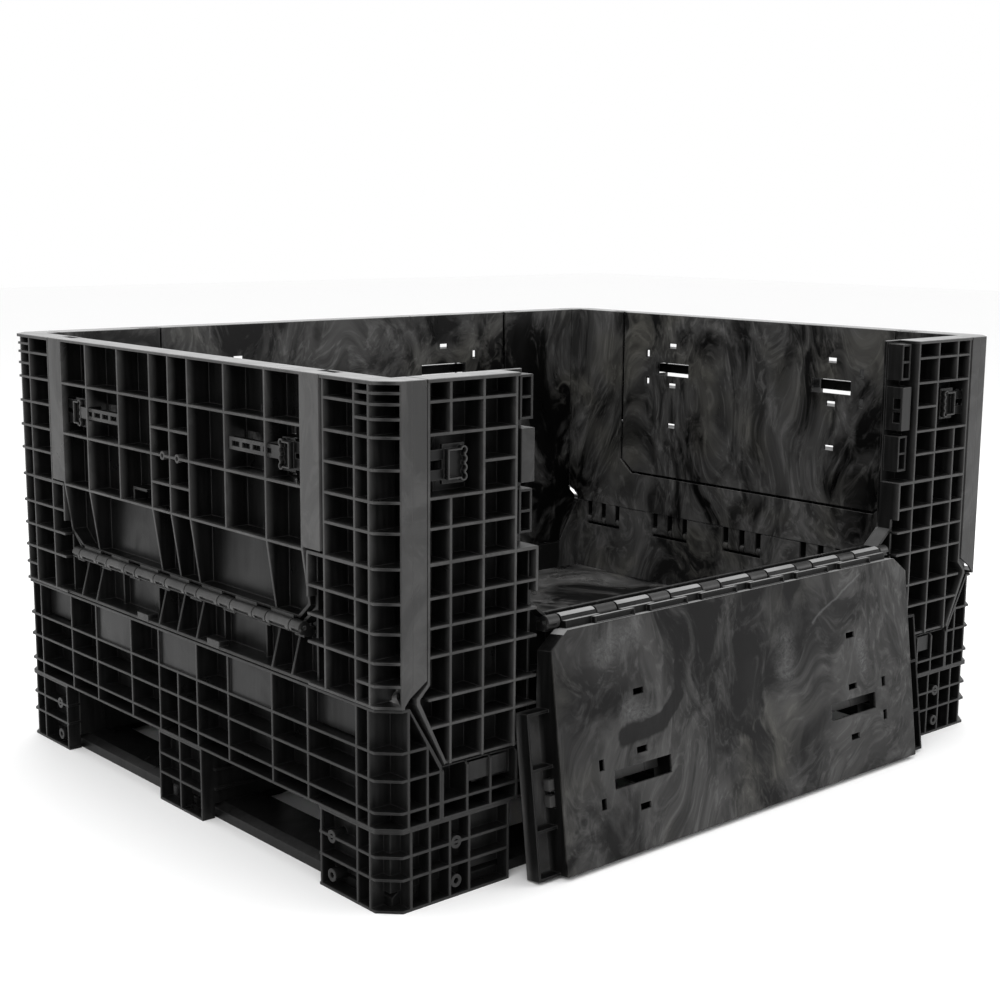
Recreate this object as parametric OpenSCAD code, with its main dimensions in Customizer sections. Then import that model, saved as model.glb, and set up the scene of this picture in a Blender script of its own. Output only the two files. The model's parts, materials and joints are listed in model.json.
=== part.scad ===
// Collapsible bulk container: a pallet base, two fixed end walls, two fold-down side walls
// and a drop door in each of the four walls.
// Sides are numbered 0 front, 1 right, 2 rear, 3 left. Each side is drawn in its own frame:
// X runs along the wall (u), Y runs inward from the outer face (w), Z is up.

/* [Container] */
// Outside length, along X
body_len = 1640; // [1600:10:1700]
// Outside width, along Y
body_wid = 1280; // [1240:10:1340]
// Height of the top rim above the ground
body_h = 855; // [850:1:870]
// Height of the deck above the ground
deck_h = 158; // [152:1:164]
// Thickness of every wall, outer face to inner face
wall_t = 54; // [54:1:58]
// Plan chamfer of the vertical corners
corner_cut = 32; // [24:1:36]

/* [Doors] */
// Height of the door hinge above the ground
door_axis_z = 428; // [427:1:430]
// Depth of the door hinge behind the outer face
door_axis_w = 14; // [13.8:0.1:14.2]
// Half width of the door opening in the front and rear walls
jamb_long = 545; // [530:1:550]
// Half width of the door opening in the left and right walls
jamb_short = 470; // [455:1:474]
// Angle that the front door hangs open, from closed
front_door_open = 172.8; // [170:0.1:172.8]
// Diameter of the door hinge rods
door_rod_d = 8; // [7:0.5:9]

/* [Ribs] */
// Thickness of the moulded ribs
rib = 4.5; // [3.5:0.5:5]
// Thickness of the smooth skins
skin = 6; // [5:0.5:6]

/* [Hidden] */
$fn = 32;

black = [0.12, 0.12, 0.12];
steel = [0.62, 0.63, 0.65];
fit = 0.05;                 // radial clearance of a pin in its bore
eps = 1;                    // overrun of a cut past a face
mid = rib / 2;              // from a rib's middle to its face

// heights that the walls share
base_in = 4.5;              // the base's faces stand this far inside the walls' outer faces
feet_h = 138;               // underside of the deck
runner_h = 28;
flange_t = 6;
ledge_z = 565;              // below this the columns step in under the door
wall_ribs = [819, 768, 718, 668, 620, 564, 509, 461, 414];
corner_ribs = [836, 819, 796, 768, 718, 668, 620, 564, 509, 461, 414, 377];
base_ribs = [267, 221, 168];
foot_ribs = [94, 56];

// doors
door_t = 50;                // outer face to inner face
door_bottom = 441;
door_taper_z = 567;         // below this the outer face runs in towards the hinge
door_taper_w = 18;
door_edge = 50;             // the door body stops this far inside the jamb
door_chamfer = [38, 30];
strip_gap = 1.5;            // side strip to jamb
strip_z = 570;
strip_depth = 31;
strip_ribs = [572.5, 667, 771, body_h - 2.5];
door_ribs = [768, 668, 565];
short_ribs = [717, 616];    // half-height ribs in the two middle bays
knuckle_r = 12;
knuckles = 7;
latch_z = 716;
latch_bar_h = 22;
latch_window_h = 9;
latch_w = 14;
latch_bar_w = [5, 16];       // the springy bar stands forward of the prongs
prong_z = [690, 718];       // bottoms of a door latch's two prongs
prong_h = 19;
wall_prong_z = [693, 725];  // bottoms of a wall latch's two prongs
wall_prong_h = 17;

// fold hinges of the walls on the base
pin_w = 42;
pin_r = 5;
lug_r = 11;
lug_half = 61;              // half width of a hinge window
rim_ease = 3;               // chamfer of the base's inner rim, under the walls that fold
knuckle_trim = 20;          // clear of the opening's sloped lower corners

// feet, and the runners screwed under them
foot_long = 260;            // corner foot, along X
foot_short = 185;           // corner foot, along Y
mid_x = 110;                // half width of a middle foot on a long side
mid_y = 77;                 // half width of a middle foot on a short side
mid_depth = 150;            // how far a middle foot runs in behind its ribs
skirt = 26;                 // depth of the ribs outside a foot's core
foot_floor = 10;            // floor of a hollow foot, over the runners
foot_wall = 6;
runner_in = 30.5;           // runners stand inside the feet's faces
runner_w = 110;
screw_r = 4;
screw_head_r = 9;
screw_seat = 8;             // depth of the recess for a screw's head
screw_bite = 22;            // length of a screw inside its foot
boss_r = 13;

function long(k) = k % 2 == 0;
function span(k) = (long(k) ? body_len : body_wid) / 2;
function jamb(k) = long(k) ? jamb_long : jamb_short;
function door_half(k) = jamb(k) - door_edge;
function bay(k) = long(k) ? [75, 222, 378] : [67, 187, 313];
function rim(k) = long(k) ? 230 : 338;
function pin_z(k) = rim(k) - (long(k) ? 30 : 46);
function knuckle_pitch(k) = long(k) ? 135 : 112;
function lug_at(k) = [for (i = [-2:2]) i * (long(k) ? 280 : 242)];
long_edge = body_len / 2 - 85;          // where a long wall meets the end wall's post
post_w = 82;                            // width of the end wall's post on the long side
ramp = [[116, 231], [51, 338]];         // slope on the base's corners: depth from the end, height

module at_side(k)
    rotate([0, 0, 90 * k]) translate([0, -(long(k) ? body_wid : body_len) / 2, 0]) children();

module both() {
    children();
    mirror([1, 0, 0]) children();
}

module box(u0, u1, w0, w1, z0, z1)
    translate([u0, w0, z0]) cube([u1 - u0, w1 - w0, z1 - z0]);

module vrib(u, w0, w1, z0, z1) box(u - rib / 2, u + rib / 2, w0, w1, z0, z1);

module hrib(z, u0, u1, w0, w1) box(u0, u1, w0, w1, z - rib / 2, z + rib / 2);

// an outline in (u, z), made into a plate between two depths
module plate(w0, w1) translate([0, w1, 0]) rotate([90, 0, 0]) linear_extrude(w1 - w0) children();

// a section in (w, z), run along the wall
module bar(u0, u1) translate([u0, 0, 0]) rotate([90, 0, 90]) linear_extrude(u1 - u0) children();

// an outline in plan (u, w), at one height
module level(z0, z1) translate([0, 0, z0]) linear_extrude(z1 - z0) children();

module rod(r, u0, u1, w, z) translate([u0, w, z]) rotate([0, 90, 0]) cylinder(r = r, h = u1 - u0);

// ---------------------------------------------------------------- doors

function door_outline(k, grow = 0) =
    let (b = door_half(k) + grow, zc = door_bottom + door_chamfer[1] - grow * 0.4,
        c = door_half(k) - door_chamfer[0] + grow * 0.5, z0 = door_bottom - grow)
    [[-b, body_h + (grow > 0 ? eps : min(grow, 0))], [-b, zc], [-c, z0], [c, z0], [b, zc],
        [b, body_h + (grow > 0 ? eps : min(grow, 0))]];

module door_slots(k) {
    v = bay(k);
    slot_mid = (v[1] + v[2]) / 2;
    for (s = [-1, 1]) {
        // long slot behind the latch bar
        translate([s * slot_mid - (v[2] - v[1] - 14) / 2, 700]) square([v[2] - v[1] - 14, 33]);
        for (z = [573, 676, 777]) translate([s * slot_mid - 13, z - 6]) square([26, 12]);
        for (z = [684, 752]) translate([s * (v[2] + 22) - 6, z - 10]) square([12, 20]);
    }
}

// envelope of a door: it thins towards its hinge on the outer face
module door_envelope(k)
    bar(-door_half(k), door_half(k))
        polygon([[0, body_h], [door_t, body_h], [door_t, door_bottom],
            [door_taper_w, door_bottom], [0, door_taper_z]]);

module door_strip(k) {
    u0 = door_half(k) - 2;
    u1 = jamb(k) - strip_gap;
    box(u0, u1, 0, 4, strip_z, body_h);
    box(u1 - 4, u1, 0, strip_depth, strip_z, body_h);
    for (z = strip_ribs) box(u0, u1, 0, strip_depth, z - 2.5, z + 2.5);
}

module door_body(k) {
    v = bay(k);
    b = door_half(k);
    plate(door_t - skin, door_t) difference() {
        polygon(door_outline(k));
        door_slots(k);
    }
    plate(0, door_t) difference() {
        polygon(door_outline(k));
        polygon(door_outline(k, -5));
    }
    for (z = door_ribs) hrib(z, -b, b, 0, door_t);
    for (z = short_ribs) hrib(z, -v[0], v[0], 0, door_t);
    vrib(0, 0, door_t, door_bottom, body_h);
    both() {
        vrib(v[0], 0, door_t, door_bottom, body_h);
        vrib(v[1], 0, door_t, door_taper_z - 2, body_h);
        vrib(v[2], 0, door_t, door_bottom, body_h);
    }
}

module door_knuckles(k, on_door) {
    p = knuckle_pitch(k);
    n = (knuckles - 1) / 2;
    half = on_door ? 0.30 * p : 0.17 * p;
    shift = on_door ? 0 : p / 2;
    count = on_door ? n : n + 1;
    for (i = [-count:n]) {
        u = i * p + shift;
        difference() {
            rod(knuckle_r, u - half, u + half, door_axis_w, door_axis_z);
            // blind slot along the barrel's face
            box(u - 0.7 * half, u + 0.7 * half, -eps, 7, door_axis_z - 6, door_axis_z - 1);
        }
        if (on_door)
            box(u - half, u + half, door_axis_w, 36, door_axis_z, door_bottom + 4);
        else
            box(u - half, u + half, door_axis_w, 34, door_axis_z - 16, door_axis_z);
    }
}

// raised frames on the door's hinge edge, one behind each of the wall's knuckles
loop_depth = [36, 45];
loop_low = door_axis_z + 1;
loop_wall = 3;
module hinge_loops(k) {
    p = knuckle_pitch(k);
    half = 0.36 * p;
    for (i = [-3:2]) translate([(i + 0.5) * p, 0, 0]) difference() {
        box(-half, half, loop_depth[0], loop_depth[1], loop_low, door_bottom + 1);
        box(-half + loop_wall, half - loop_wall, loop_depth[1] - 4, loop_depth[1] + eps,
            loop_low + loop_wall, door_bottom - 1);
    }
}

module door_panel_closed(k) {
    v = bay(k);
    b = door_half(k);
    reach = (knuckles + 1) * knuckle_pitch(k) / 2;
    difference() {
        union() {
            intersection() {
                door_envelope(k);
                door_body(k);
            }
            both() door_strip(k);
            door_knuckles(k, true);
            hinge_loops(k);
            // bosses and a card clip in the bays
            for (u = [-26, 26]) translate([u, 0, 668]) rotate([-90, 0, 0]) cylinder(r = 8, h = 46);
            box(-v[1] + 24, -v[1] + 76, 14, 46, 588, 593);
            box(-v[1] + 24, -v[1] + 29, 14, 46, 566, 593);
        }
        // windows that the latches slide through
        both() {
            box(b - 8, b + eps, latch_w - 1, strip_depth, prong_z[0] - 2, prong_z[1] + prong_h + 2);
            box(v[2] - rib, v[2] + rib, latch_bar_w[0] - 1.5, strip_depth,
                latch_z - latch_bar_h / 2 - 2, latch_z + latch_bar_h / 2 + 2);
        }
        for (u = [-26, 26]) translate([u, -eps, 668]) rotate([-90, 0, 0]) cylinder(r = 4, h = 24);
        rod(door_rod_d / 2 + fit, -reach, reach, door_axis_w, door_axis_z);
    }
}

// the front door hangs open
module door_pose(k) {
    if (k == 0)
        translate([0, door_axis_w, door_axis_z]) rotate([front_door_open, 0, 0])
            translate([0, -door_axis_w, -door_axis_z]) children();
    else
        children();
}

module door_panel(k) color(black) at_side(k) door_pose(k) door_panel_closed(k);

// the rod ends inside the wall's last knuckles
function rod_half(k) = door_half(k) - knuckle_trim - 3;

module door_rod(k) color(steel) at_side(k)
    rod(door_rod_d / 2, -rod_half(k), rod_half(k), door_axis_w, door_axis_z);

// ---------------------------------------------------------------- latches

// outline of a pull, scalloped on the side that faces the middle of the wall
module grip_outline(wide, high, inset) {
    r = high / 8;
    // the body laps half way into the lobes
    translate([inset - r / 2, 4 + inset]) square([wide + r / 2 - 2 * inset, high - 8 - 2 * inset]);
    for (i = [0:3]) translate([0, r * (2 * i + 1)]) circle(r = r - inset);
}

// thin raised rim of a pull, standing on its slide
module latch_grip(u, wide, z0, z1, w0, w1)
    translate([u, 0, z0]) difference() {
        plate(w0, w1) grip_outline(wide, z1 - z0, 0);
        plate(w0 - eps, w1 - 2) grip_outline(wide, z1 - z0, 2.5);
    }

// one moulding: two prongs, a pull and a springy bar with four blind windows
module door_latch_slide(k) {
    v = bay(k);
    b = door_half(k);
    bar_end = v[1] + 8;
    window = (b - 75 - bar_end - 20) / 4;
    difference() {
        union() {
            for (z = prong_z) box(b - 42, b + 9, latch_w, latch_w + 14, z, z + prong_h);
            box(b - 75, b - 38, latch_w, latch_w + 8, 686, 742);
            box(bar_end, b - 70, latch_bar_w[0], latch_bar_w[1],
                latch_z - latch_bar_h / 2, latch_z + latch_bar_h / 2);
            latch_grip(b - 67, 24, 688, 740, 4, latch_w + 1);
        }
        for (i = [0:3])
            box(bar_end + 8 + i * window, bar_end + i * window + window, latch_bar_w[0] - eps,
                latch_bar_w[1] - 3,
                latch_z - latch_window_h / 2, latch_z + latch_window_h / 2);
    }
}

module door_latch(k, hand) color(black) at_side(k) door_pose(k)
    mirror([hand > 0 ? 0 : 1, 0, 0]) door_latch_slide(k);

// latch in a long wall's column; it locks the wall to the end wall's post
module wall_latch_slide() {
    for (z = wall_prong_z)
        box(long_edge - 44, long_edge - 2, latch_w + 2, latch_w + 16, z, z + wall_prong_h);
    box(long_edge - 84, long_edge - 40, latch_w + 2, latch_w + 8, 686, 750);
    latch_grip(long_edge - 76, 32, 690, 746, 5, latch_w + 3);
}

module wall_latch(k, hand) color(black) at_side(k)
    mirror([hand > 0 ? 0 : 1, 0, 0]) wall_latch_slide();

// ---------------------------------------------------------------- walls

// loops and tab on a column's edge that the door's side strip closes over
module fingers(k) {
    u0 = jamb(k) - 38;
    u1 = jamb(k) - 10;
    for (z = [[588, 661], [673, 762], [776, 849]])
        difference() {
            union() {
                box(u0, u1, z[0] == 673 ? 8 : 13, wall_t, z[0], z[1]);
                box(u1 - eps, jamb(k) + 6, 36, wall_t, z[0], z[1]);
            }
            if (z[0] == 673)
                for (p = prong_z) box(u0 - eps, u1 - 5, 12.5, 30, p - 1.5, p + prong_h + 1.5);
            else
                for (f = [0, 1])
                    box(u0 + 4, u1 - 4, 13 - eps, 46, z[0] + 4 + f * 34.5, z[0] + 34.5 + f * 34.5);
        }
}

// sloped lower corner and side of the opening
module opening_lip(k) {
    b = door_half(k);
    lo = door_outline(k, 6);
    plate(20, wall_t) polygon([lo[3], lo[4], [lo[4][0], ledge_z], [lo[4][0] + 5, ledge_z],
        [lo[4][0] + 5, lo[4][1] - 2], [lo[3][0] + 3, lo[3][1] - 4]]);
    plate(2, 22) polygon([[lo[4][0], lo[4][1] + 20], [lo[4][0], ledge_z], [lo[4][0] + 5, ledge_z],
        [lo[4][0] + 5, lo[4][1] + 20]]);
}

// lower beam: its outer face leans back towards the door hinge
module beam(k, z0) {
    v = bay(k);
    b = door_half(k);
    intersection() {
        bar(-b - 12, b + 12)
            polygon([[base_in + 1, z0], [wall_t, z0], [wall_t, door_bottom - 6], [46, door_bottom - 6],
                [46, door_axis_z - 12], [26, door_axis_z - 12]]);
        union() {
            hrib(z0 + rib / 2, -b - 12, b + 12, 0, wall_t);
            hrib(door_axis_z - 14, -b + 36, b - 36, 0, wall_t);
            if (long(k)) hrib(345, -b - 12, b + 12, 0, wall_t);
            vrib(0, 0, wall_t, z0, 440);
            both() for (u = [v[0], v[2], v[2] + 60]) vrib(u, 0, wall_t, z0, 440);
            both() for (u = [v[0] + 50, v[2] - 60]) vrib(u, 36, wall_t, z0, 440);
        }
    }
    // wall's knuckles of the door hinge
    difference() {
        door_knuckles(k, false);
        for (s = [-1, 1])
            box(s * b - knuckle_trim, s * b + knuckle_trim, -eps, 40, 400, 450);
    }
}

module column_ribs(k, u_out, z0) {
    u_in = jamb(k) + 4;
    low_in = door_half(k) + 8;
    for (z = wall_ribs) hrib(z, z > ledge_z ? u_in : low_in, u_out, 2, wall_t - 2);
    hrib(ledge_z - rib / 2, low_in, u_out, 2, wall_t);
    vrib(u_in + rib / 2, 2, wall_t - 2, ledge_z - rib, body_h - 2);
    vrib(low_in + rib / 2, 20, wall_t - 2, z0, ledge_z);
    vrib(u_in + rib / 2, 2, wall_t - 2, z0, ledge_z);
}

// hinge lugs that hang from a wall into the base
module lugs(k) {
    for (u = lug_at(k), s = [-1, 1])
        difference() {
            union() {
                rod(lug_r, u + s * 26 - 17, u + s * 26 + 17, pin_w, pin_z(k));
                box(u + s * 26 - 17, u + s * 26 + 17, pin_w - 8, wall_t - 1, pin_z(k), rim(k) + 6);
            }
            rod(pin_r + fit, u - lug_half, u + lug_half, pin_w, pin_z(k));
        }
}

// inner skin with the door opening
module wall_skin(k) {
    plate(wall_t - skin, wall_t) difference() {
        children();
        polygon(door_outline(k, 6));
    }
}

// plan of an end wall's corner post, for u > 0
module post_plan(inset, thick) {
    s = span(1);
    polygon([[s - wall_t - thick, inset], [s - corner_cut, inset], [s - inset, corner_cut],
        [s - inset, post_w], [s - wall_t, post_w], [s - wall_t, wall_t - 2],
        [s - wall_t - thick, wall_t - 2]]);
}

// an end wall's corner post: smooth band, end wall, inner skin and ribs, for u > 0
module post_parts(k) {
    s = span(k);
    z0 = rim(k) + 2;
    box(s - 4, s, corner_cut, post_w, z0, body_h);
    box(s - wall_t, s, post_w - 4, post_w, z0, body_h);
    box(s - wall_t, s - wall_t + skin, wall_t - skin, post_w, z0, body_h);
    for (z = corner_ribs) level(z - mid, z + mid) post_plan(2, 28);
    level(z0, z0 + rib) post_plan(2, 28);
    level(body_h - flange_t, body_h) post_plan(0, 28);
}

// the post's bevelled foot, and its pockets for the long wall's latch
module post_cuts(k) {
    s = span(k);
    z0 = rim(k) + 2;
    bar(s - wall_t - eps, s + eps) polygon([[38, z0 - eps], [post_w + eps, z0 - eps],
        [post_w + eps, 379], [post_w, 379], [48, 356], [38, 344]]);
    for (z = wall_prong_z) box(s - latch_w - 18, s - latch_w, post_w - 5, post_w + eps,
        z - 2, z + wall_prong_h + 2);
}

module end_wall(k) {
    s = span(k);
    z0 = rim(k) + 2;
    b = door_half(k);
    difference() {
        union() {
            wall_skin(k) polygon([[-s + wall_t, z0], [s - wall_t, z0], [s - wall_t, body_h],
                [-s + wall_t, body_h]]);
            beam(k, z0);
            both() {
                column_ribs(k, s - wall_t - 26, z0);
                fingers(k);
                opening_lip(k);
                box(b + 8, s - wall_t - 24, 2, wall_t, z0, z0 + rib);
                for (u = [s - 81, s - 44]) vrib(u, 2, wall_t - 2, z0, body_h - 2);
                post_parts(k);
                box(jamb(k) + 1, s - wall_t - 27, 0, wall_t, body_h - flange_t, body_h);
            }
            for (u = [-126, 126]) box(u - 20, u + 20, base_in + 1, 26, z0, z0 + 14);
            lugs(k);
        }
        both() post_cuts(k);
        rod(door_rod_d / 2 + fit, -b, b, door_axis_w, door_axis_z);
    }
}

module side_wall(k) {
    z0 = rim(k) + 2;
    e = long_edge;
    half = [[0, z0], [e - 35, z0], [e + 22, 342], [e + 22, 352], [e, 373], [e, body_h]];
    edge = [[e - 35, z0], [e + 22, 342], [e + 22, 352], [e, 373], [e, body_h],
        [e - 5, body_h], [e - 5, 370], [e + 15, 350], [e + 15, 344], [e - 38, z0 + rib]];
    b = door_half(k);
    difference() {
        union() {
            wall_skin(k) union() {
                polygon(concat(half, [[0, body_h]]));
                mirror([1, 0]) polygon(concat(half, [[0, body_h]]));
            }
            beam(k, z0);
            both() {
                column_ribs(k, e - 3, z0);
                fingers(k);
                opening_lip(k);
                plate(2, wall_t) polygon(edge);
                for (u = [e - 47, e - 115]) vrib(u, 2, wall_t - 2, z0, body_h - 2);
                for (z = [345, 298]) hrib(z, b + 8, e - (z > 300 ? 2 : 8), 2, wall_t - 2);
                box(b + 8, e - 34, base_in + 1, wall_t, z0, z0 + rib);
                box(jamb(k) + 1, e, 0, wall_t, body_h - flange_t, body_h);
            }
            lugs(k);
        }
        both() {
            // clear bay and window for the wall latch
            box(e - 112.75, e - 5, -eps, wall_t - 8, 670.25, 765.75);
            box(e - 6, e + eps, latch_w + 1, latch_w + 18, wall_prong_z[0] - 2,
                wall_prong_z[1] + wall_prong_h + 2);
        }
        rod(door_rod_d / 2 + fit, -b, b, door_axis_w, door_axis_z);
    }
}

// where an end wall and its base turn the corner onto the long side
module corner_returns(k) box(-span(k) - eps, span(k) + eps, wall_t, 150, 0, body_h + eps);

module wall_frame(k) color(black) at_side(k) side_wall(k);

// an end wall is a beam under the door, with a column on each side of it
function column_at(k) = door_half(k) + 6;

module wall_beam(k) color(black) at_side(k) difference() {
    end_wall(k);
    corner_returns(k);
    both() box(column_at(k), span(k) + eps, -eps, wall_t + eps, 0, body_h + eps);
}

module wall_columns(k) color(black) at_side(k) difference() {
    end_wall(k);
    corner_returns(k);
    box(-column_at(k), column_at(k), -eps, wall_t + eps, 0, body_h + eps);
}

module corner_posts(k) color(black) at_side(k) both() intersection() {
    difference() {
        post_parts(k);
        post_cuts(k);
    }
    box(span(k) - wall_t - eps, span(k) + eps, wall_t, 150, 0, body_h + eps);
}

// ---------------------------------------------------------------- base

// pocket in a base side for one group of hinge lugs, with its bearings
module hinge_pockets(k) {
    for (u = lug_at(k))
        box(u - lug_half, u + lug_half, 29, wall_t + eps, pin_z(k) - 14, rim(k) + eps);
}

module hinge_bearings(k) {
    for (u = lug_at(k), a = [[-lug_half, -46], [-6, 6], [46, lug_half]])
        difference() {
            union() {
                rod(lug_r, u + a[0], u + a[1], pin_w, pin_z(k));
                box(u + a[0], u + a[1], 28, pin_w, pin_z(k) - lug_r, pin_z(k) + lug_r);
            }
            rod(pin_r + fit, u - lug_half - eps, u + lug_half + eps, pin_w, pin_z(k));
        }
}

module hinge_housing(k)
    for (u = lug_at(k))
        box(u - lug_half - 5, u + lug_half + 5, 24, wall_t, pin_z(k) - 20, rim(k));

module hinge_pins(k) color(steel) at_side(k)
    for (u = lug_at(k)) rod(pin_r, u - lug_half, u + lug_half, pin_w, pin_z(k));

// plan of a base corner post, for u > 0, run on to the ramp's foot
module base_corner_plan(reach) {
    s = span(1) - base_in;
    polygon([[s - 110, base_in], [s - corner_cut, base_in], [s, base_in + corner_cut], [s, reach],
        [span(1) - wall_t, reach], [span(1) - wall_t, wall_t - 2], [s - 110, wall_t - 2]]);
}

// a base corner for u > 0: ribs and inner skin under the ramp, and the sloped lip
// that the long wall's lower corner rests beside
module base_corner(k) {
    s = span(k);
    top = rim(k);
    intersection() {
        bar(s - 112, s) polygon([[0, feet_h], [ramp[0][0], feet_h], ramp[0], ramp[1], [0, top]]);
        union() {
            for (z = concat(base_ribs, [feet_h + mid, top - mid]))
                level(z - mid, z + mid) base_corner_plan(ramp[0][0]);
            box(s - wall_t, s - wall_t + skin, wall_t - skin, ramp[0][0], feet_h, top);
            for (w = [49, 87, 114])
                box(s - wall_t, s - base_in, w - mid, w + mid, feet_h, top);
        }
    }
    bar(s - wall_t, s - base_in) polygon([ramp[0], ramp[1], [ramp[1][0], top - 6],
        [ramp[0][0] - 4, ramp[0][1] - 6], [ramp[0][0], ramp[0][1] - 6]]);
}

module base_end(k) {
    s = span(k);
    o = base_in;
    top = rim(k);
    difference() {
        union() {
            box(-s + wall_t, s - wall_t, wall_t - skin, wall_t, feet_h, top);
            for (z = base_ribs) hrib(z, -s + 110, s - 110, o, wall_t - 2);
            for (z = [feet_h + rib / 2, top - rib / 2]) hrib(z, -s + 110, s - 110, o, wall_t);
            hinge_housing(k);
            vrib(0, o, wall_t - 2, feet_h, 270);
            both() {
                for (u = [68, 174, 314]) vrib(u, o, wall_t - 2, feet_h, top);
                for (u = [420, 556, 588]) vrib(u, o, wall_t - 2, feet_h, top);
                box(176, 312, 9, 13, 267, top);
                base_corner(k);
            }
            box(-66, 66, 9, 13, 267, top);
        }
        hinge_pockets(k);
    }
    hinge_bearings(k);
}

module base_long(k) {
    e = body_len / 2 - ramp[0][0];
    o = base_in;
    top = rim(k);
    difference() {
        union() {
            box(-e, e, wall_t - skin, wall_t, feet_h, top);
            for (z = [feet_h + rib / 2, 168, top - rib / 2]) hrib(z, -e, e, o, wall_t);
            hinge_housing(k);
            vrib(0, o, wall_t - 2, feet_h, top);
            both() for (u = [75, 160, 300, 420, 542, 600, 650, e - rib / 2])
                vrib(u, o, wall_t - 2, feet_h, top);
            both() box(e - 142, e - 60, 9, 13, 190, 222);
        }
        hinge_pockets(k);
        // eased rim: a hanging door clears its outer edge and the wall's foot its inner edge
        bar(-e - eps, e + eps) polygon([[0, top - 10], [o, top - 10], [o + 10, top],
            [o + 10, top + eps], [0, top + eps]]);
        bar(-e - eps, e + eps) polygon([[wall_t - rim_ease, top], [wall_t, top - rim_ease],
            [wall_t + eps, top - rim_ease], [wall_t + eps, top + eps],
            [wall_t - rim_ease, top + eps]]);
    }
    hinge_bearings(k);
}

module base_side(k) color(black) at_side(k) {
    if (long(k)) base_long(k);
    else difference() {
        base_end(k);
        corner_returns(k);
    }
}

module base_corners(k) color(black) at_side(k) both() intersection() {
    base_corner(k);
    box(span(k) - wall_t - eps, span(k) + eps, wall_t, 150, 0, body_h);
}

module base_deck() color(black) {
    x = body_len / 2 - wall_t;
    y = body_wid / 2 - wall_t;
    box(-x, x, -y, y, deck_h - 8, deck_h);
    // grid of ribs under the deck; each stands inside the deck's edge
    for (i = [-9:9]) translate([i * (x - mid) / 9, 0, 0]) box(-mid, mid, -y, y, feet_h, deck_h - 7);
    for (i = [-7:7]) translate([0, i * (y - mid) / 7, 0]) box(-x, x, -mid, mid, feet_h, deck_h - 7);
}

// ---------------------------------------------------------------- feet and runners

// hollow foot, open upward under the deck, with its outer ribs as children;
// one rib each way parts the hollow, and its runner's screws go into bosses
module foot(x0, x1, y0, y1) {
    xm = (x0 + x1) / 2;
    ym = (y0 + y1) / 2;
    screws = [for (x = screw_x, y = screw_y) if (x > x0 && x < x1 && y > y0 && y < y1) [x, y]];
    difference() {
        union() {
            box(x0, x1, y0, y1, runner_h, feet_h);
            children();
        }
        difference() {
            for (u = [[x0 + foot_wall, xm - mid], [xm + mid, x1 - foot_wall]],
                v = [[y0 + foot_wall, ym - mid], [ym + mid, y1 - foot_wall]])
                box(u[0], u[1], v[0], v[1], runner_h + foot_floor, feet_h + eps);
            for (p = screws) translate([p[0], p[1], runner_h])
                cylinder(r = boss_r, h = screw_bite + foot_wall);
        }
        for (p = screws) translate([p[0], p[1], runner_h - eps])
            cylinder(r = screw_r + fit, h = screw_bite + 2 * eps);
    }
}

// ribs on one outward face of a foot: the face is at w = base_in
module foot_face(u0, u1, uprights) {
    for (z = concat(foot_ribs, [mid, feet_h - mid])) hrib(z, u0, u1, base_in, skirt + base_in);
    for (u = uprights) vrib(u, base_in, skirt + base_in, 0, feet_h);
}

module foot_bosses(u)
    for (z = [94, 27]) difference() {
        translate([u, base_in, z]) rotate([-90, 0, 0]) cylinder(r = 11, h = skirt);
        translate([u, base_in - eps, z]) rotate([-90, 0, 0]) cylinder(r = 5, h = 16);
    }

// the front right foot
module corner_foot() {
    x1 = body_len / 2 - base_in;
    y1 = body_wid / 2 - base_in;
    x0 = x1 - foot_long + base_in;
    y0 = -y1 + foot_short;
    foot(x0, x1 - skirt, -y1 + skirt, y0) {
        difference() {
            for (z = concat(foot_ribs, [mid, feet_h - mid])) level(z - mid, z + mid)
                polygon([[x0, -y1], [x1 - corner_cut, -y1], [x1, -y1 + corner_cut], [x1, y0], [x0, y0]]);
            box(x0 - eps, x1 - skirt - 1, -y1 + skirt + 1, y0 + eps, -eps, runner_h);
        }
        for (u = [49, 87, 129, 170, 255])
            box(x1 - u - mid, x1 - u + mid, -y1, -y1 + skirt + 1, 0, feet_h);
        for (u = [45, 79, 180])
            box(x1 - skirt - 1, x1, -y1 + u - mid, -y1 + u + mid, 0, feet_h);
    }
    at_side(0) foot_bosses(x1 - 142);
    at_side(1) foot_bosses(-y1 + 150);
}

module corner_feet() color(black)
    for (m = [0, 1], n = [0, 1]) mirror([m, 0, 0]) mirror([0, n, 0]) corner_foot();

// outward ribs of a middle foot, and the short ribs that turn in along its sides
module middle_ribs(half) {
    foot_face(-half, half, [-half + mid, half - mid, 0]);
    both() for (z = foot_ribs)
        box(half - 1, half + 6, skirt + base_in, skirt + 120, z - mid, z + mid);
}

module long_side_feet() color(black) for (n = [0, 1]) mirror([0, n, 0])
    foot(-mid_x, mid_x, -body_wid / 2 + skirt + base_in - 2, -body_wid / 2 + skirt + mid_depth)
        at_side(0) middle_ribs(mid_x);

module short_side_feet() color(black) for (m = [0, 1]) mirror([m, 0, 0])
    foot(body_len / 2 - skirt - mid_depth, body_len / 2 - skirt - base_in + 2, -mid_y, mid_y)
        at_side(1) middle_ribs(mid_y);

module centre_foot() color(black) foot(-mid_x, mid_x, -mid_y, mid_y);

module runner_section(w) polygon([[-w / 2, 0], [w / 2, 0], [w / 2, runner_h - 10],
    [w / 2 - 14, runner_h], [-w / 2 + 14, runner_h], [-w / 2, runner_h - 10]]);

// a screw near each end of a runner, and two under its middle foot
screw_x = [for (m = [-1:1]) m * (body_len / 2 - runner_in - base_in - runner_w / 2)];
screw_y = [for (m = [-1, 1], y = [38, body_wid / 2 - 120]) m * y];

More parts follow.
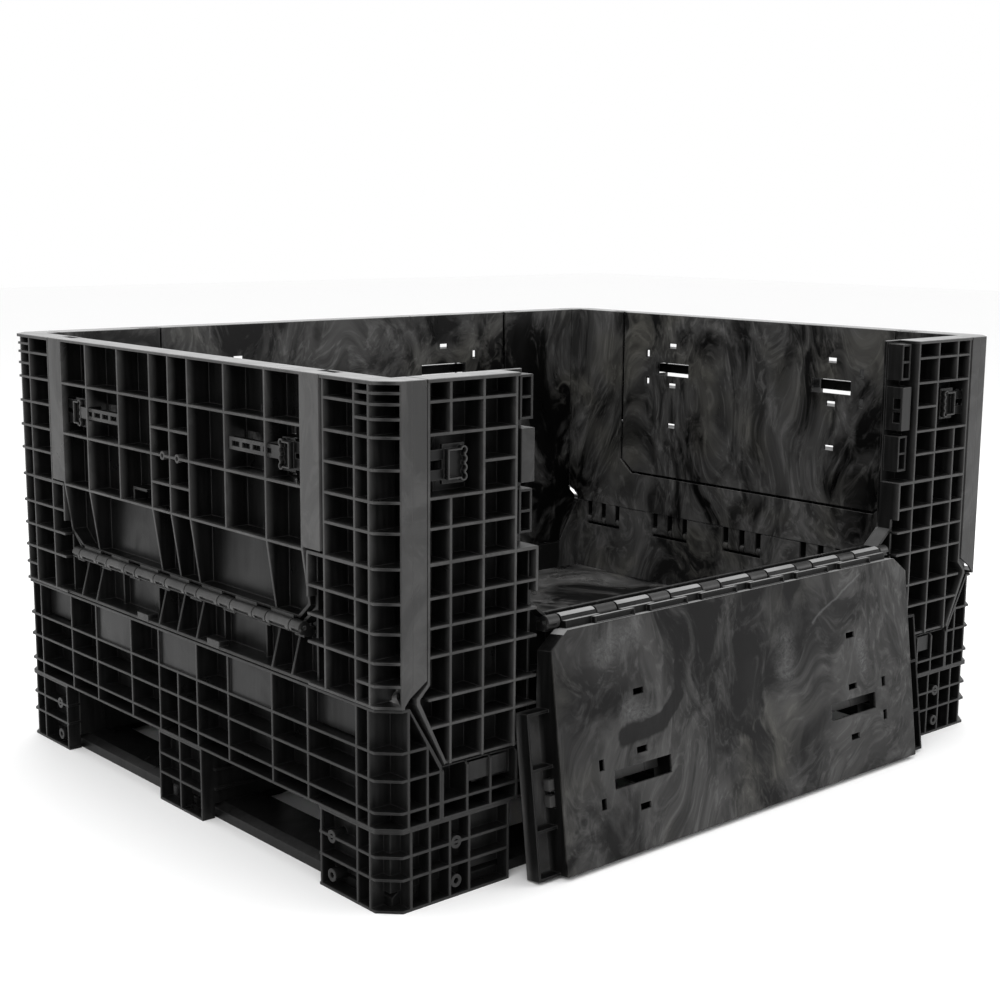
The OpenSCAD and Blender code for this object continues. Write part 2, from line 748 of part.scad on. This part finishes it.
module screw_holes(x) for (y = screw_y) translate([x, y, -eps]) {
    cylinder(r = screw_r + fit, h = runner_h + 2 * eps);
    cylinder(r = screw_head_r + fit, h = screw_seat + eps);
}

module runner(x) color(black) difference() {
    translate([x, body_wid / 2 - base_in - skirt - 1, 0]) rotate([90, 0, 0])
        linear_extrude(body_wid - 2 * (base_in + skirt + 1)) runner_section(runner_w);
    screw_holes(x);
}

cross_y = body_wid / 2 - base_in - skirt - 1 - runner_w / 2;
module cross_runner(y) color(black)
    for (s = [0, 1]) mirror([s, 0, 0]) translate([runner_w / 2, y, 0]) rotate([90, 0, 90])
        linear_extrude(screw_x[2] - runner_w) runner_section(runner_w - (y == 0 ? 20 : 0));

module runner_screws() color(steel)
    for (x = screw_x, y = screw_y) translate([x, y, 0]) {
        translate([0, 0, 2]) cylinder(r = screw_head_r, h = screw_seat - 2);
        translate([0, 0, screw_seat]) cylinder(r = screw_r, h = runner_h + screw_bite - screw_seat);
    }

base_deck();
base_side(0);  // base_side_front
base_side(1);  // base_side_right
base_side(2);  // base_side_rear
base_side(3);  // base_side_left
base_corners(1);  // base_corners_right
base_corners(3);  // base_corners_left
corner_feet();
long_side_feet();
short_side_feet();
centre_foot();
runner(screw_x[0]);  // runner_left
runner(screw_x[1]);  // runner_centre
runner(screw_x[2]);  // runner_right
cross_runner(-cross_y);  // cross_runner_front
cross_runner(0);  // cross_runner_centre
cross_runner(cross_y);  // cross_runner_rear
runner_screws();
hinge_pins(0);  // front_wall_hinge_pins
hinge_pins(1);  // right_wall_hinge_pins
hinge_pins(2);  // rear_wall_hinge_pins
hinge_pins(3);  // left_wall_hinge_pins
wall_frame(0);  // front_wall_frame
wall_beam(1);  // right_wall_beam
wall_columns(1);  // right_wall_columns
wall_frame(2);  // rear_wall_frame
wall_beam(3);  // left_wall_beam
wall_columns(3);  // left_wall_columns
corner_posts(1);  // right_corner_posts
corner_posts(3);  // left_corner_posts
door_rod(0);  // front_door_rod
door_rod(1);  // right_door_rod
door_rod(2);  // rear_door_rod
door_rod(3);  // left_door_rod
door_panel(0);  // front_door_panel
door_panel(1);  // right_door_panel
door_panel(2);  // rear_door_panel
door_panel(3);  // left_door_panel
door_latch(0, -1);  // front_door_latch_left
door_latch(0, 1);  // front_door_latch_right
door_latch(1, -1);  // right_door_latch_left
door_latch(1, 1);  // right_door_latch_right
door_latch(2, -1);  // rear_door_latch_left
door_latch(2, 1);  // rear_door_latch_right
door_latch(3, -1);  // left_door_latch_left
door_latch(3, 1);  // left_door_latch_right
wall_latch(0, -1);  // front_wall_latch_left
wall_latch(0, 1);  // front_wall_latch_right
wall_latch(2, -1);  // rear_wall_latch_left
wall_latch(2, 1);  // rear_wall_latch_right
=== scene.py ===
"""Looks of the collapsible bulk container: black recycled plastic with a marbled flow, zinc
steel pins, and a pale studio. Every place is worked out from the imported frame, in metres."""
import json
import math

import bpy
from mathutils import Matrix, Vector


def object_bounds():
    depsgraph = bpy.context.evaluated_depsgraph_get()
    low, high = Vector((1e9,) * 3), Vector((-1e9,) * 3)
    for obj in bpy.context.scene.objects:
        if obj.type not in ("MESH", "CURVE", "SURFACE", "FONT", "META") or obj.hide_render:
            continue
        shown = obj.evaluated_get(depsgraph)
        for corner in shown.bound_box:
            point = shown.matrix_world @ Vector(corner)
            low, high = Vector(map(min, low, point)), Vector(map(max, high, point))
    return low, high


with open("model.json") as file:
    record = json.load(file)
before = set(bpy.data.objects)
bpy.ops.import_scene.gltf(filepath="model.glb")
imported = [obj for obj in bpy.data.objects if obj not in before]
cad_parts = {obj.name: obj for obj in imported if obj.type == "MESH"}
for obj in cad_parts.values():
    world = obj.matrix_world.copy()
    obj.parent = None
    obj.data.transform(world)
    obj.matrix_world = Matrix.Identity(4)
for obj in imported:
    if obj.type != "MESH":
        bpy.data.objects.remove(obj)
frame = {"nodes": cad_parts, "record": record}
CAD_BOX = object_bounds()
RECORD = frame["record"]

# ------------------------------------------------------------------ camera

CAMERA_PLACE = Vector((-2.2895, -2.5810, 1.1039))
CAMERA_YAW = 0.7197         # from +Y towards +X
CAMERA_PITCH = 0.1734       # downward
CAMERA_ROLL = 0.0074
LENS_MM = 58.77
SENSOR_MM = 36.0
CLIP_END = 100              # beyond the floor's far edge


def make_camera():
    forward = Vector((
        math.sin(CAMERA_YAW) * math.cos(CAMERA_PITCH),
        math.cos(CAMERA_YAW) * math.cos(CAMERA_PITCH),
        -math.sin(CAMERA_PITCH),
    ))
    level = forward.cross(Vector((0, 0, 1))).normalized()
    upright = level.cross(forward)
    right = level * math.cos(CAMERA_ROLL) + upright * math.sin(CAMERA_ROLL)
    up = upright * math.cos(CAMERA_ROLL) - level * math.sin(CAMERA_ROLL)
    data = bpy.data.cameras.new("camera")
    data.lens = LENS_MM
    data.sensor_width = SENSOR_MM
    data.clip_end = CLIP_END
    camera = bpy.data.objects.new("camera", data)
    bpy.context.collection.objects.link(camera)
    turn = Matrix((right, up, -forward)).transposed().to_4x4()
    camera.matrix_world = Matrix.Translation(CAMERA_PLACE) @ turn
    bpy.context.scene.camera = camera


# ------------------------------------------------------------------ shader helpers


class Nodes:
    """Short calls for making and joining the nodes of one material."""

    def __init__(self, name):
        self.material = bpy.data.materials.new(name)
        self.material.use_nodes = True
        self.tree = self.material.node_tree
        self.shader = self.tree.nodes["Principled BSDF"]

    def add(self, kind, inputs=None, **settings):
        node = self.tree.nodes.new(kind)
        for key, value in settings.items():
            setattr(node, key, value)
        for key, value in (inputs or {}).items():
            self.set(node.inputs[key], value)
        return node

    def set(self, socket, value):
        if isinstance(value, bpy.types.NodeSocket):
            self.tree.links.new(value, socket)
        else:
            socket.default_value = value

    def noise(self, where, scale, detail=4.0, distortion=0.0, rough=0.55):
        node = self.add("ShaderNodeTexNoise", {
            "Vector": where, "Scale": scale, "Detail": detail,
            "Distortion": distortion, "Roughness": rough,
        })
        return node.outputs["Fac"]

    def spread(self, value, low, high, to_low=0.0, to_high=1.0):
        node = self.add("ShaderNodeMapRange", {
            "Value": value, "From Min": low, "From Max": high,
            "To Min": to_low, "To Max": to_high,
        })
        return node.outputs["Result"]

    def total(self, a, b):
        """The sum of two values, kept between 0 and 1."""
        return self.add("ShaderNodeMath", {0: a, 1: b}, operation="ADD", use_clamp=True).outputs[0]

    def math(self, operation, a, b=0.0):
        return self.add("ShaderNodeMath", {0: a, 1: b}, operation=operation).outputs[0]

    def vector(self, operation, a, b):
        node = self.add("ShaderNodeVectorMath", {0: a, 1: b}, operation=operation)
        one_number = operation in ("DOT_PRODUCT", "DISTANCE")
        return node.outputs["Value" if one_number else "Vector"]

    def mix(self, share, a, b):
        node = self.add("ShaderNodeMix", data_type="RGBA")
        self.set(node.inputs[0], share)
        self.set(node.inputs[6], a)
        self.set(node.inputs[7], b)
        return node.outputs[2]


def grey(level, warm=0.0):
    return (level * (1 + warm), level, level * (1 - warm), 1.0)


EDGE_RADIUS = 0.0022        # rounding that a moulded rib's edge shows
EDGE_STARTS, EDGE_FULL = 0.995, 0.86        # cosines of how far the rounding has turned
HALF_LENGTH, HALF_WIDTH = CAD_BOX[1][0], CAD_BOX[1][1]     # outer faces of the walls
INNER_SKIN = 0.049          # deeper than this behind an outer face lies the smooth inner skin
DECK_TOP = 0.150
RIM = CAD_BOX[1][2]


def edges(n):
    """How far a point is onto a rounded edge, and the rounded normal there."""
    bevel = n.add("ShaderNodeBevel", {"Radius": EDGE_RADIUS}, samples=4)
    flat = n.add("ShaderNodeNewGeometry").outputs["Normal"]
    facing = n.vector("DOT_PRODUCT", bevel.outputs[0], flat)
    return n.spread(facing, EDGE_STARTS, EDGE_FULL), bevel.outputs[0]


def body_depth(n, place):
    """Depth of a point behind the nearest outer face, and whether it is inside the load space."""
    part = n.add("ShaderNodeSeparateXYZ", {0: place}).outputs
    along = n.math("SUBTRACT", HALF_LENGTH, n.math("ABSOLUTE", part[0]))
    across = n.math("SUBTRACT", HALF_WIDTH, n.math("ABSOLUTE", part[1]))
    depth = n.math("MINIMUM", along, across)
    above = n.math("GREATER_THAN", part[2], DECK_TOP)
    return depth, n.math("MULTIPLY", n.math("GREATER_THAN", depth, INNER_SKIN), above)


def hinge_of(name):
    for joint in RECORD["behaviour"]["joints"]:
        if joint["name"] == name:
            return Vector(joint["pos_m"]), math.radians(joint["range_deg"][1])
    raise ValueError(name)


DOOR_HINGE_DEPTH = 0.014    # the door's hinge line lies this far behind its outer face
DOOR_SKIN = 0.0465          # deeper than this lies the door's smooth inner face


def hung_door(n, place):
    """The open door's own directions: along the hinge, depth, and distance out from the hinge."""
    hinge, angle = hinge_of("front_door_swing")
    away = n.vector("SUBTRACT", place, hinge)
    part = n.add("ShaderNodeSeparateXYZ", {0: away}).outputs
    inward = (0, math.cos(angle), math.sin(angle))
    outward = (0, -math.sin(angle), math.cos(angle))
    depth = n.math("ADD", n.vector("DOT_PRODUCT", away, inward), DOOR_HINGE_DEPTH)
    return part[0], depth, n.vector("DOT_PRODUCT", away, outward)


def stroke(n, where, start, end, radius, soft):
    """A rounded stroke between two points of the door: 1 inside it, 0 outside."""
    first, last = Vector((*start, 0)), Vector((*end, 0))
    span = last - first
    away = n.vector("SUBTRACT", where, first)
    share = n.spread(n.vector("DOT_PRODUCT", away, span), 0.0, span.length_squared)
    foot = n.add("ShaderNodeVectorMath", {0: span, "Scale": share}, operation="SCALE").outputs[0]
    return n.spread(n.vector("DISTANCE", away, foot), radius + soft, radius - soft)


# the largest marks of the melt on the open door: (start, end, radius, softness), metres along the
# hinge and down from it
DARK_CURL = (
    ((-0.20, 0.12), (-0.20, 0.17), 0.010, 0.002),
    ((-0.20, 0.17), (-0.25, 0.21), 0.014, 0.002),
    ((-0.25, 0.21), (-0.34, 0.22), 0.018, 0.003),
)
DARK_POOLS = (
    ((0.00, 0.16), (0.00, 0.24), 0.015, 0.015),
    ((-0.05, 0.33), (0.02, 0.33), 0.025, 0.025),
    ((0.19, 0.15), (0.18, 0.23), 0.012, 0.015),
)
PALE_SCUFFS = (
    ((-0.32, 0.18), (-0.28, 0.20), 0.022, 0.020),
    ((0.33, 0.16), (0.34, 0.22), 0.015, 0.012),
    ((-0.38, 0.06), (-0.31, 0.04), 0.018, 0.024),
    ((0.10, 0.12), (0.10, 0.18), 0.018, 0.022),
)
PALE_LINES = (
    ((0.19, 0.10), (0.34, 0.03), 0.0016, 0.0022),
)


def strokes(n, where, marks):
    """All of one table's strokes together: 1 inside any of them."""
    total = None
    for start, end, radius, soft in marks:
        one = stroke(n, where, start, end, radius, soft)
        total = one if total is None else n.math("MAXIMUM", total, one)
    return total


FLOW_PUSH = 0.55            # metres that a slow noise drags the flow's pattern
FLOW_STRETCH = (1.0, 1.0, 0.62)     # the flow is drawn out upright
CLOUD_SHARE, CURL_SHARE, WISP_SHARE = 0.48, 0.34, 0.42
ALL_DARK, ALL_PALE = 0.20, 0.86     # sums of clouds, curls and wisps that are one resin only
RAGGED = 0.020              # metres that a mark's edge wanders
STREAK_STRETCH = 0.06
PAINTED_LIGHT_FULL = 0.003         # this close to the outer face, a rib gets the full painted light; deeper in a cell it fades to painted shade
HINGE_EDGE = 0.020          # reach of the open door's painted highlight on its upward-facing edge, out from its hinge
# tone of the painted highlight on upward-facing top edges
TOP_HIGHLIGHT_TONE = 0.24
PEEL_SCALE = 520.0          # orange peel of the mould, per metre
BUMP_HEIGHT = 0.0012
MOULDED_IOR = 1.27


def melt(n, place, size, start):
    """Flow of the melt: clouds of dark and grey resin, drawn out in curls and fine wisps."""
    drawn = n.add("ShaderNodeMapping", {
        "Vector": place, "Location": start, "Scale": FLOW_STRETCH,
    }).outputs[0]
    push = n.add("ShaderNodeTexNoise", {"Vector": drawn, "Scale": size * 0.8, "Detail": 2.0})
    pushed = n.vector("MULTIPLY", push.outputs["Color"], (FLOW_PUSH,) * 3)
    where = n.vector("ADD", drawn, pushed)
    cloud = n.spread(n.noise(where, size * 0.9, 3.0), 0.34, 0.68)
    curls = n.spread(n.noise(where, size * 2.2, 6.0, 1.6, 0.60), 0.42, 0.68)
    wisps = n.spread(n.noise(where, size * 5.5, 5.0, 2.6, 0.62), 0.50, 0.72)
    broad = n.total(n.math("MULTIPLY", cloud, CLOUD_SHARE), n.math("MULTIPLY", curls, CURL_SHARE))
    in_cloud = n.spread(cloud, 0.0, 0.8, 0.25, 1.0)
    fine = n.math("MULTIPLY", n.math("MULTIPLY", wisps, WISP_SHARE), in_cloud)
    return n.spread(n.total(broad, fine), ALL_DARK, ALL_PALE), where


def resin(n, place, flow, dark, pale):
    """The smooth inside: dark and pale resin, with a tawny tint in some of the pale."""
    marbled = n.mix(flow, grey(dark), grey(pale, 0.012))
    tint = n.spread(n.noise(place, 4.6, 2.0), 0.56, 0.72, 0.0, 0.45)
    tawny = (pale * 0.95, pale * 0.90, pale * 0.66, 1)
    return n.mix(n.math("MULTIPLY", tint, flow), marbled, tawny)


def door_marks(n, marbled, along, out, pale):
    """The open door's inside with the marks on it, whose edges are ragged."""
    flat = n.add("ShaderNodeCombineXYZ", {0: along, 1: out}).outputs[0]
    ragged = n.add("ShaderNodeTexNoise", {"Vector": flat, "Scale": 26.0, "Detail": 4.0})
    shift = n.vector("SUBTRACT", ragged.outputs["Color"], (0.5, 0.5, 0.5))
    where = n.vector("ADD", flat, n.vector("MULTIPLY", shift, (RAGGED, RAGGED, 0.0)))
    crumbs = n.spread(n.noise(flat, 60.0, 7.0, 2.4, 0.7), 0.36, 0.66, 0.15, 1.0)
    scuffs = n.math("MULTIPLY", strokes(n, where, PALE_SCUFFS), crumbs)
    marbled = n.mix(n.math("MULTIPLY", scuffs, 0.60), marbled, grey(pale * 1.7))
    for marks, strength, tone in (
        (PALE_LINES, 0.50, pale * 1.8),
        (DARK_POOLS, 0.60, 0.006),
        (DARK_CURL, 0.92, 0.002),
    ):
        share = n.math("MULTIPLY", strokes(n, where, marks), strength)
        marbled = n.mix(share, marbled, grey(tone))
    return marbled


def ribbed(n, place, depth, flow, cell, face, painted_light_depth):
    """The outside: painted shade, dark deep in a cell, with faint upright streaks, and painted
    light, paler, at the outer face.
    """
    upright = n.add("ShaderNodeMapping", {
        "Vector": place, "Scale": (1.0, 1.0, STREAK_STRETCH),
    }).outputs[0]
    streaks = n.spread(n.noise(upright, 130.0, 3.0), 0.38, 0.68)
    # painted shade: the dark tone deep in a cell, with streaks
    shaded_cells = n.mix(streaks, grey(cell * 0.7), grey(cell * 1.7))
    # painted light: paler towards the outer face, where the cell is unshadowed
    near = n.math("POWER", n.spread(depth, painted_light_depth, PAINTED_LIGHT_FULL), 1.6)
    painted_light_share = n.math("MULTIPLY", near, n.spread(flow, 0.1, 0.8, 0.58, 1.12))
    return n.mix(painted_light_share, shaded_cells, grey(face, 0.01))


def painted_top_highlight(n, place, out):
    """Where the plastic gets a painted highlight, palest: the open door's upward-facing hinge
    edge, or else the walls' top rim.
    """
    if out is not None:
        angle = hinge_of("front_door_swing")[1]
        normal = n.add("ShaderNodeTexCoord").outputs["Normal"]
        facing_out = n.vector("DOT_PRODUCT", normal, (0, -math.sin(angle), math.cos(angle)))
        faces_up = n.math("LESS_THAN", facing_out, -0.6)
        share = n.math("MULTIPLY", faces_up, n.math("LESS_THAN", out, HINGE_EDGE))
    else:
        height = n.add("ShaderNodeSeparateXYZ", {0: place}).outputs[2]
        share = n.math("GREATER_THAN", height, RIM - 0.001)
    return n.math("MULTIPLY", share, n.spread(n.noise(place, 14.0, 4.0), 0.3, 0.7, 0.7, 1.0))


def plastic(name, rib, skin, rough=0.38, size=3.4, edge_wear_and_sheen_tone=0.044, painted_light_depth=0.017,
            start=(0, 0, 0), open_door=False, ior=MOULDED_IOR):
    """Recycled polyethylene. rib is the tone of the outside: painted shade deep in a cell, painted
    light at the outer face;
    skin is the tone of the smooth inside, in its dark and its pale resin; bead is the tone of an
    edge, partly wear and partly a painted highlight, and painted_light_depth the depth that the
    painted light reaches."""
    n = Nodes(name)
    place = n.add("ShaderNodeTexCoord").outputs["Object"]
    out = None
    if open_door:
        along, depth, out = hung_door(n, place)
        inside = n.math("GREATER_THAN", depth, DOOR_SKIN)
    else:
        depth, inside = body_depth(n, place)
    flow, where = melt(n, place, size, start)
    marbled = resin(n, place, flow, *skin)
    if open_door:
        marbled = door_marks(n, marbled, along, out, skin[1])
    body = n.mix(inside, ribbed(n, place, depth, flow, *rib, painted_light_depth), marbled)
    # painted highlight on upward-facing top edges
    body = n.mix(painted_top_highlight(n, place, out), body, grey(TOP_HIGHLIGHT_TONE))
    on_edge, rounded = edges(n)
    # rounded edges made paler: partly wear, partly a painted highlight
    edge_wear_and_sheen = n.math("MULTIPLY", on_edge, n.spread(n.noise(place, 30.0, 3.0), 0.30, 0.70, 0.45, 1.0))
    colour = n.mix(edge_wear_and_sheen, body, grey(edge_wear_and_sheen_tone, 0.01))
    peel = n.noise(place, PEEL_SCALE, 2.0)
    smear = n.noise(where, size * 4.0, 4.0, 0.8)
    bump = n.add("ShaderNodeBump", {
        "Height": n.total(n.math("MULTIPLY", peel, 0.35), n.math("MULTIPLY", smear, 0.6)),
        "Normal": rounded, "Strength": 0.22, "Distance": BUMP_HEIGHT,
    })
    n.set(n.shader.inputs["Base Color"], colour)
    n.set(n.shader.inputs["Roughness"], n.spread(smear, 0.3, 0.7, rough - 0.08, rough + 0.10))
    n.set(n.shader.inputs["Normal"], bump.outputs[0])
    n.shader.inputs["IOR"].default_value = ior
    return n.material


def zinc(name):
    n = Nodes(name)
    place = n.add("ShaderNodeTexCoord").outputs["Object"]
    patch = n.noise(place, 90.0, 4.0, 0.6)
    n.set(n.shader.inputs["Base Color"], n.mix(patch, grey(0.42), grey(0.60)))
    n.set(n.shader.inputs["Roughness"], n.spread(patch, 0.3, 0.7, 0.28, 0.48))
    n.shader.inputs["Metallic"].default_value = 1.0
    return n.material


def finish_nodes():
    finishes = {
        # first pair: the outside's tones, painted shade deep in a cell and painted light at the
        # outer face
        "base_plastic": plastic("base_plastic", (0.0045, 0.024), (0.006, 0.095), 0.34, edge_wear_and_sheen_tone=0.024,
                                painted_light_depth=0.011),
        "wall_plastic": plastic("wall_plastic", (0.0045, 0.046), (0.0008, 0.098), 0.34),
        "door_plastic": plastic("door_plastic", (0.003, 0.060), (0.0008, 0.098), 0.34),
        "latch_plastic": plastic("latch_plastic", (0.003, 0.060), (0.006, 0.040), 0.32,
                                 painted_light_depth=0.011),
        "zinc_steel": zinc("zinc_steel"),
    }
    deck = plastic("deck_plastic", (0.003, 0.028), (0.004, 0.150), 0.30, size=2.2,
                   start=(0.7, 2.2, 0))
    # the open door's own copy of the door plastic: its pale resin is darker than the closed
    # doors', as painted shade; its marks are the melt's own
    hung_shaded = plastic("door_plastic_hung_shaded", (0.003, 0.060), (0.0012, 0.064), 0.42,
                   start=(3.1, 0.4, 1.7), open_door=True, ior=1.21)
    own = {"front_door_panel": hung_shaded, "base_deck": deck}
    slots = {part["node"]: part["material_slot"] for part in RECORD["subparts"]}
    for name, piece in frame["nodes"].items():
        piece.data.materials.clear()
        piece.data.materials.append(own.get(name, finishes[slots[name]]))


# ------------------------------------------------------------------ studio

FLOOR_SIZE = 40.0
FLOOR_TONE = 0.97
LIGHTS = (                  # name, place, target, size and power in watts
    ("key", (-3.6, -2.6, 3.6), (0, 0, 0.4), (3.0, 2.2), 90),
    ("top", (0.4, 0.6, 4.2), (0, 0, 0.3), (3.5, 3.5), 120),
    ("right", (3.2, -3.4, 2.0), (0.3, -0.4, 0.4), (2.4, 1.8), 50),
)


def area_light(name, place, target, size, power):
    data = bpy.data.lights.new(name, "AREA")
    data.shape = "RECTANGLE"
    data.size, data.size_y = size
    data.energy = power
    light = bpy.data.objects.new(name, data)
    bpy.context.collection.objects.link(light)
    light.location = place
    light.rotation_euler = (Vector(target) - Vector(place)).to_track_quat("-Z", "Y").to_euler()


def studio():
    bpy.ops.mesh.primitive_plane_add(size=FLOOR_SIZE)
    floor = bpy.context.object
    floor.name = "floor"
    n = Nodes("floor")
    n.shader.inputs["Base Color"].default_value = grey(FLOOR_TONE)
    n.shader.inputs["Roughness"].default_value = 0.9
    floor.data.materials.append(n.material)
    world = bpy.data.worlds.new("studio")
    bpy.context.scene.world = world
    world.use_nodes = True
    world.node_tree.nodes["Background"].inputs["Color"].default_value = grey(1.0)
    world.node_tree.nodes["Background"].inputs["Strength"].default_value = 1.0
    for light in LIGHTS:
        area_light(*light)
    bpy.context.scene.view_settings.view_transform = "Standard"


make_camera()
finish_nodes()
studio()
